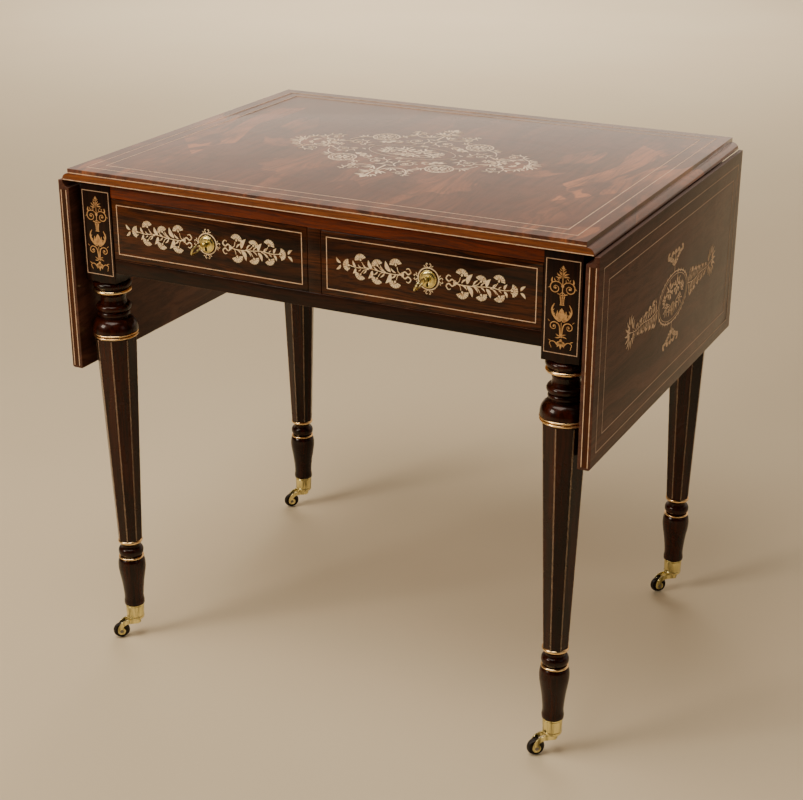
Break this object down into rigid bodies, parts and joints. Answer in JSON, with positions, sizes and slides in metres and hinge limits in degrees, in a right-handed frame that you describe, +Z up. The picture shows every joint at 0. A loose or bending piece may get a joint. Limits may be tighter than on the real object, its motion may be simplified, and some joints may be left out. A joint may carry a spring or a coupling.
{
  "type": "drop-leaf sewing table",
  "caption": "Rosewood sewing table with hinged drop leaves, locking frieze drawers and turned, faceted legs on brass cup casters.",
  "frame": {"origin": "on the floor under the middle of the whole object's box, keys included; the middle of the fixed top is 11.5 mm further towards +Y", "axes": "+Z up; -Y is the front, where the drawers and keys are; +X is the right hand of a person facing the front"},
  "size_m": [0.788, 0.613, 0.74],
  "materials": {
    "rosewood": "french-polished dark rosewood veneer with pale boxwood stringing and marquetry",
    "lining_wood": "plain waxed oak of the drawer linings, runners and brackets",
    "brass": "aged lacquered brass",
    "steel": "dull lock steel",
    "caster_wheel": "blackened hardwood, worn on the tread"
  },
  "bodies": {
    "frame": {"table_top": "rosewood", "front_left_leg": "rosewood", "front_left_caster_cup": "brass", "back_left_leg": "rosewood", "back_left_caster_cup": "brass", "front_right_leg": "rosewood", "front_right_caster_cup": "brass", "back_right_leg": "rosewood", "back_right_caster_cup": "brass", "front_top_rail": "rosewood", "front_bottom_rail": "rosewood", "drawer_divider": "rosewood", "back_apron": "rosewood", "left_apron": "rosewood", "right_apron": "rosewood", "left_leaf_bracket": "lining_wood", "right_leaf_bracket": "lining_wood", "left_drawer_runner": "lining_wood", "middle_drawer_runner": "lining_wood", "right_drawer_runner": "lining_wood", "left_front_hinge_top_plate": "brass", "left_back_hinge_top_plate": "brass", "right_front_hinge_top_plate": "brass", "right_back_hinge_top_plate": "brass"},
    "left_leaf_body": {"left_leaf": "rosewood", "left_front_hinge_leaf_plate": "brass", "left_back_hinge_leaf_plate": "brass"},
    "right_leaf_body": {"right_leaf": "rosewood", "right_front_hinge_leaf_plate": "brass", "right_back_hinge_leaf_plate": "brass"},
    "left_drawer": {"left_drawer_front": "rosewood", "left_drawer_left_side": "lining_wood", "left_drawer_right_side": "lining_wood", "left_drawer_back": "lining_wood", "left_drawer_bottom": "lining_wood", "left_escutcheon": "brass", "left_lock_case": "steel"},
    "left_key_body": {"left_key": "brass"},
    "left_bolt_body": {"left_lock_bolt": "steel"},
    "right_drawer": {"right_drawer_front": "rosewood", "right_drawer_left_side": "lining_wood", "right_drawer_right_side": "lining_wood", "right_drawer_back": "lining_wood", "right_drawer_bottom": "lining_wood", "right_escutcheon": "brass", "right_lock_case": "steel"},
    "right_key_body": {"right_key": "brass"},
    "right_bolt_body": {"right_lock_bolt": "steel"},
    "front_left_swivel": {"front_left_caster_horn": "brass", "front_left_caster_axle": "steel"},
    "front_left_wheel": {"front_left_caster_wheel": "caster_wheel"},
    "back_left_swivel": {"back_left_caster_horn": "brass", "back_left_caster_axle": "steel"},
    "back_left_wheel": {"back_left_caster_wheel": "caster_wheel"},
    "front_right_swivel": {"front_right_caster_horn": "brass", "front_right_caster_axle": "steel"},
    "front_right_wheel": {"front_right_caster_wheel": "caster_wheel"},
    "back_right_swivel": {"back_right_caster_horn": "brass", "back_right_caster_axle": "steel"},
    "back_right_wheel": {"back_right_caster_wheel": "caster_wheel"}
  },
  "joints": [
    {"name": "left_leaf_hinge", "type": "hinge", "parent": "frame", "child": "left_leaf_body", "pos_m": [-0.377, 0.0115, 0.723], "axis": [0, 1, 0], "range_deg": [0, 90]},
    {"name": "right_leaf_hinge", "type": "hinge", "parent": "frame", "child": "right_leaf_body", "pos_m": [0.377, 0.0115, 0.723], "axis": [0, -1, 0], "range_deg": [0, 90]},
    {"name": "left_drawer_slide", "type": "slide", "parent": "frame", "child": "left_drawer", "axis": [0, -1, 0], "range_m": [0, 0.33]},
    {"name": "left_key_turn", "type": "hinge", "parent": "left_drawer", "child": "left_key_body", "pos_m": [-0.164, -0.2685, 0.65835], "axis": [0, 1, 0], "range_deg": [-30, 150]},
    {"name": "left_bolt_slide", "type": "slide", "parent": "left_drawer", "child": "left_bolt_body", "axis": [0, 0, 1], "range_m": [-0.0015, 0.0071]},
    {"name": "right_drawer_slide", "type": "slide", "parent": "frame", "child": "right_drawer", "axis": [0, -1, 0], "range_m": [0, 0.33]},
    {"name": "right_key_turn", "type": "hinge", "parent": "right_drawer", "child": "right_key_body", "pos_m": [0.164, -0.2685, 0.65835], "axis": [0, 1, 0], "range_deg": [-30, 150]},
    {"name": "right_bolt_slide", "type": "slide", "parent": "right_drawer", "child": "right_bolt_body", "axis": [0, 0, 1], "range_m": [-0.0015, 0.0071]},
    {"name": "front_left_caster_swivel", "type": "hinge", "parent": "frame", "child": "front_left_swivel", "pos_m": [-0.3435, -0.2445, 0.0315], "axis": [0, 0, 1], "continuous": true},
    {"name": "front_left_wheel_spin", "type": "hinge", "parent": "front_left_swivel", "child": "front_left_wheel", "pos_m": [-0.36123, -0.25835, 0.0125], "axis": [0.6157, -0.788, 0], "continuous": true},
    {"name": "back_left_caster_swivel", "type": "hinge", "parent": "frame", "child": "back_left_swivel", "pos_m": [-0.3435, 0.2675, 0.0315], "axis": [0, 0, 1], "continuous": true},
    {"name": "back_left_wheel_spin", "type": "hinge", "parent": "back_left_swivel", "child": "back_left_wheel", "pos_m": [-0.36123, 0.25365, 0.0125], "axis": [0.6157, -0.788, 0], "continuous": true},
    {"name": "front_right_caster_swivel", "type": "hinge", "parent": "frame", "child": "front_right_swivel", "pos_m": [0.3435, -0.2445, 0.0315], "axis": [0, 0, 1], "continuous": true},
    {"name": "front_right_wheel_spin", "type": "hinge", "parent": "front_right_swivel", "child": "front_right_wheel", "pos_m": [0.32577, -0.25835, 0.0125], "axis": [0.6157, -0.788, 0], "continuous": true},
    {"name": "back_right_caster_swivel", "type": "hinge", "parent": "frame", "child": "back_right_swivel", "pos_m": [0.3435, 0.2675, 0.0315], "axis": [0, 0, 1], "continuous": true},
    {"name": "back_right_wheel_spin", "type": "hinge", "parent": "back_right_swivel", "child": "back_right_wheel", "pos_m": [0.32577, 0.25365, 0.0125], "axis": [0.6157, -0.788, 0], "continuous": true}
  ],
  "couplings": [
    {"joint": "left_bolt_slide", "follows": "left_key_turn", "m_per_rad": 0.0026738},
    {"joint": "right_bolt_slide", "follows": "right_key_turn", "m_per_rad": 0.0026738}
  ]
}
